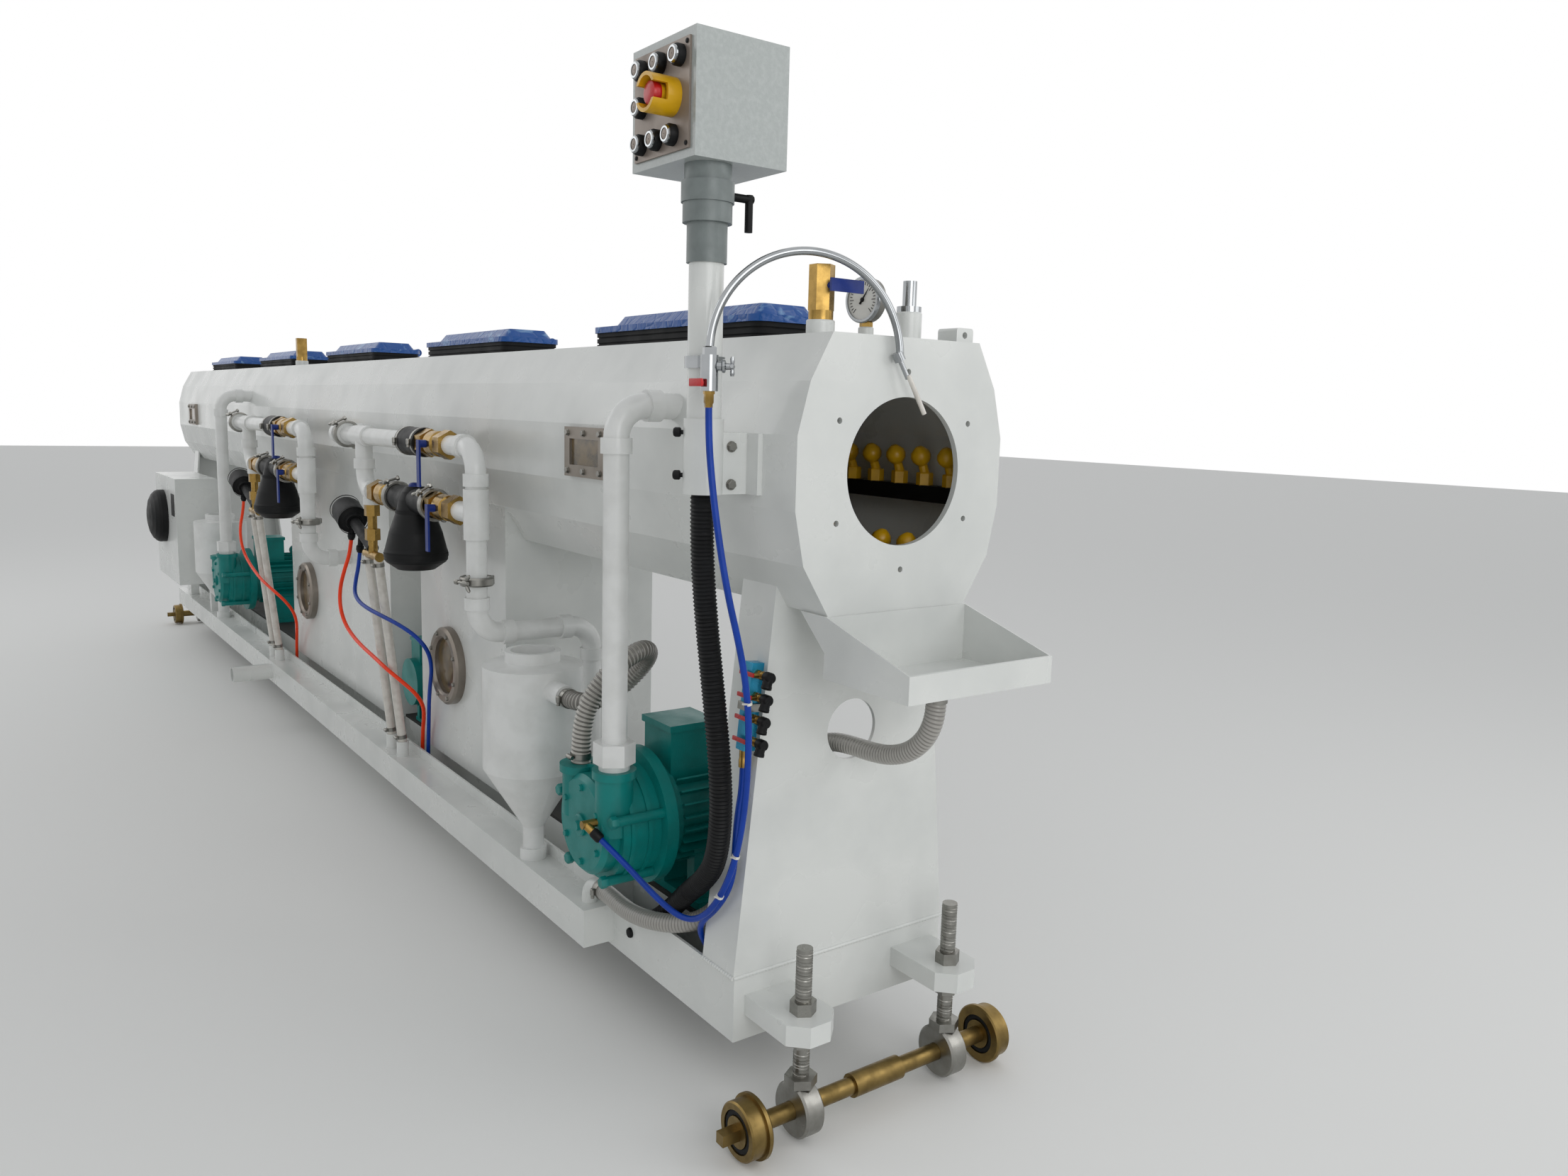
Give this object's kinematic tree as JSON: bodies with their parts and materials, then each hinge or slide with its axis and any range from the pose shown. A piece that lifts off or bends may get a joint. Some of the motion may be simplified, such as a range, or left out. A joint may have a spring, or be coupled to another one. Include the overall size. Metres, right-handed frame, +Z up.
{
  "type": "vacuum calibration tank",
  "caption": "Long faceted vacuum sizing tank of a pipe extrusion line on a wheeled base, with hinged roof lids, pumps, valve stations and a swivelling control box.",
  "frame": {"origin": "middle of the footprint on the floor", "axes": "+X along the line towards the inlet end, -Y the operator side, +Z up"},
  "size_m": [6.272, 0.865, 1.945],
  "materials": {
    "black_plastic": "black plastic",
    "black_rubber": "black rubber",
    "blue_film": "blue protective film",
    "blue_plastic": "blue dipped plastic",
    "brass": "machined brass",
    "chrome": "chrome plate",
    "clear_hose": "clear reinforced hose",
    "glass": "clear glass",
    "grey_paint": "grey hammer paint",
    "orange_plastic": "orange tubing",
    "steel": "bright steel",
    "teal_paint": "teal machine enamel",
    "white_paint": "gloss off-white paint",
    "white_plastic": "white pipe plastic",
    "yellow_plastic": "yellow plastic",
    "zinc": "yellow zinc plating"
  },
  "bodies": {
    "machine": {"base_frame": "white_paint", "base_trough": "white_paint", "bay_plates": "steel", "block_hose": "blue_plastic", "cabinet_hood": "black_plastic", "cable_conduit": "black_plastic", "catch_tray": "white_paint", "control_post": "white_paint", "discharge_hose": "clear_hose", "drain_actuators": "black_plastic", "drain_header": "white_paint", "drop_hoses": "clear_hose", "front_air_hose": "orange_plastic", "front_pedestal": "white_paint", "front_signal_hose": "blue_plastic", "hatch_hinges": "steel", "hatch_seals": "black_rubber", "inlet_end_plate": "white_paint", "jack_screws": "steel", "outlet_end_plate": "white_paint", "pump_motors": "teal_paint", "rear_air_hose": "orange_plastic", "rear_cabinet": "grey_paint", "rear_pedestal": "white_paint", "separators": "white_plastic", "sight_frames": "steel", "sight_glasses": "glass", "spout": "chrome", "spout_hose": "blue_plastic", "spray_bars": "black_plastic", "station_filters": "black_plastic", "station_levers": "blue_plastic", "station_valves": "brass", "tank_far_wall": "white_paint", "tank_floor": "white_paint", "tank_operator_wall": "white_paint", "tank_roof": "white_paint", "tray_hose": "clear_hose", "vacuum_breaker": "chrome", "vacuum_gauge": "steel", "vacuum_pipes": "white_plastic", "vacuum_pumps": "teal_paint", "valve_block": "blue_plastic", "vent_valves": "brass", "water_boxes": "white_paint"},
    "lid_1": {"hatch_lid_1": "blue_film"},
    "lid_2": {"hatch_lid_2": "blue_film"},
    "lid_3": {"hatch_lid_3": "blue_film"},
    "lid_4": {"hatch_lid_4": "blue_film"},
    "lid_5": {"hatch_lid_5": "blue_film"},
    "console": {"control_box": "grey_paint", "control_panel": "steel", "main_switch": "yellow_plastic", "swivel_collar": "grey_paint", "clamp_lever": "black_plastic"},
    "front_wheelset": {"front_axle": "steel", "front_wheels": "zinc"},
    "rear_wheelset": {"rear_axle": "steel", "rear_wheels": "zinc"},
    "vent_handle": {"vent_lever": "blue_plastic"}
  },
  "joints": [
    {"name": "lid_1_hinge", "type": "hinge", "parent": "machine", "child": "lid_1", "pos_m": [2.209, 0.2245, 1.527], "axis": [-1, 0, 0], "range_deg": [0, 95]},
    {"name": "lid_2_hinge", "type": "hinge", "parent": "machine", "child": "lid_2", "pos_m": [0.979, 0.2245, 1.527], "axis": [-1, 0, 0], "range_deg": [0, 95]},
    {"name": "lid_3_hinge", "type": "hinge", "parent": "machine", "child": "lid_3", "pos_m": [-0.221, 0.2245, 1.527], "axis": [-1, 0, 0], "range_deg": [0, 95]},
    {"name": "lid_4_hinge", "type": "hinge", "parent": "machine", "child": "lid_4", "pos_m": [-1.421, 0.2245, 1.527], "axis": [-1, 0, 0], "range_deg": [0, 95]},
    {"name": "lid_5_hinge", "type": "hinge", "parent": "machine", "child": "lid_5", "pos_m": [-2.621, 0.2245, 1.527], "axis": [-1, 0, 0], "range_deg": [0, 95]},
    {"name": "console_swivel", "type": "hinge", "parent": "machine", "child": "console", "pos_m": [2.759, -0.2225, 1.65], "axis": [0, 0, 1], "range_deg": [-90, 90]},
    {"name": "front_axle_roll", "type": "hinge", "parent": "machine", "child": "front_wheelset", "pos_m": [2.904, 0.1075, 0.06], "axis": [0, 1, 0], "continuous": true},
    {"name": "rear_axle_roll", "type": "hinge", "parent": "machine", "child": "rear_wheelset", "pos_m": [-3.076, 0.1075, 0.06], "axis": [0, 1, 0], "continuous": true},
    {"name": "vent_lever_turn", "type": "hinge", "parent": "machine", "child": "vent_handle", "pos_m": [2.857, -0.0325, 1.559], "axis": [1, 0, 0], "range_deg": [0, 90]}
  ]
}
